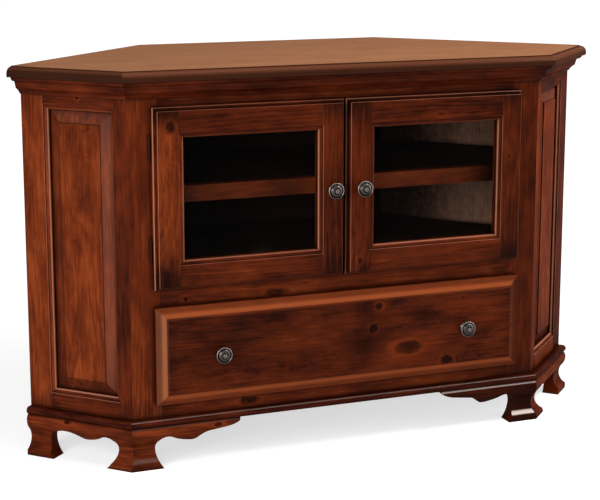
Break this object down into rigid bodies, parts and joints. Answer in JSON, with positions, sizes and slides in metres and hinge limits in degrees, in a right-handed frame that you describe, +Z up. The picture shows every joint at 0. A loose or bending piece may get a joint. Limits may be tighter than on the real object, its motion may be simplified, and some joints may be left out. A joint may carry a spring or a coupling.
{
  "type": "corner television cabinet",
  "caption": "Corner television cabinet in stained cherry, with glazed doors over a wide drawer, raised side panels, moulded top and ogee bracket feet.",
  "frame": {"origin": "on the floor under the middle of the plan", "axes": "+Z up, the doors face -Y, +X to the right as seen from the front"},
  "size_m": [1.2318, 0.532, 0.76],
  "materials": {
    "stained_cherry": "satin lacquer",
    "cherry_veneer": "satin lacquer",
    "drawer_maple": "clear lacquer",
    "clear_glass": "polished",
    "aged_pewter": "antiqued",
    "dark_bronze": "satin",
    "zinc_steel": "zinc plated"
  },
  "bodies": {
    "cabinet": {"top_board": "stained_cherry", "crown_front": "stained_cherry", "crown_sides": "stained_cherry", "front_stile_left": "stained_cherry", "front_stile_right": "stained_cherry", "front_top_rail": "stained_cherry", "front_middle_rail": "stained_cherry", "front_bottom_rail": "stained_cherry", "side_front_stile_left": "stained_cherry", "side_front_stile_right": "stained_cherry", "side_rear_stile_left": "stained_cherry", "side_rear_stile_right": "stained_cherry", "side_top_rail_left": "stained_cherry", "side_top_rail_right": "stained_cherry", "side_bottom_rail_left": "stained_cherry", "side_bottom_rail_right": "stained_cherry", "side_panel_left": "stained_cherry", "side_panel_right": "stained_cherry", "back_panel_left": "cherry_veneer", "back_panel_right": "cherry_veneer", "back_panel_middle": "cherry_veneer", "rear_posts": "cherry_veneer", "bottom_board": "cherry_veneer", "divider_board": "cherry_veneer", "shelf_board": "cherry_veneer", "shelf_edge": "stained_cherry", "shelf_cleats": "cherry_veneer", "base_moulding_front": "stained_cherry", "base_moulding_sides": "stained_cherry", "foot_bracket_left": "stained_cherry", "foot_bracket_right": "stained_cherry", "foot_apron_left": "stained_cherry", "foot_apron_right": "stained_cherry", "drawer_partitions": "cherry_veneer", "slide_outer_members": "zinc_steel", "hinge_frame_leaves": "dark_bronze", "hinge_pins": "dark_bronze"},
    "left_door": {"door_left_hinge_stile": "stained_cherry", "door_left_meeting_stile": "stained_cherry", "door_left_top_rail": "stained_cherry", "door_left_bottom_rail": "stained_cherry", "door_left_glass": "clear_glass", "door_left_glass_stops": "stained_cherry", "door_left_knob": "aged_pewter", "door_left_hinge_leaves": "dark_bronze"},
    "right_door": {"door_right_hinge_stile": "stained_cherry", "door_right_meeting_stile": "stained_cherry", "door_right_top_rail": "stained_cherry", "door_right_bottom_rail": "stained_cherry", "door_right_glass": "clear_glass", "door_right_glass_stops": "stained_cherry", "door_right_knob": "aged_pewter", "door_right_hinge_leaves": "dark_bronze"},
    "drawer": {"drawer_front": "stained_cherry", "drawer_sides": "drawer_maple", "drawer_box_ends": "drawer_maple", "drawer_bottom": "cherry_veneer", "drawer_knobs": "aged_pewter", "slide_inner_members": "zinc_steel"},
    "slide_middles": {"slide_middle_members": "zinc_steel"}
  },
  "joints": [
    {"name": "left_door_hinge", "type": "hinge", "parent": "cabinet", "child": "left_door", "pos_m": [-0.3837, -0.21822, 0.5185], "axis": [0, 0, -1], "range_deg": [0, 100]},
    {"name": "right_door_hinge", "type": "hinge", "parent": "cabinet", "child": "right_door", "pos_m": [0.3837, -0.21822, 0.5185], "axis": [0, 0, 1], "range_deg": [0, 100]},
    {"name": "drawer_slide", "type": "slide", "parent": "cabinet", "child": "drawer", "axis": [0, -1, 0], "range_m": [0, 0.3]},
    {"name": "slide_middle_travel", "type": "slide", "parent": "cabinet", "child": "slide_middles", "axis": [0, -1, 0], "range_m": [0, 0.15]}
  ],
  "couplings": [
    {"joint": "slide_middle_travel", "follows": "drawer_slide", "ratio": 0.5}
  ]
}
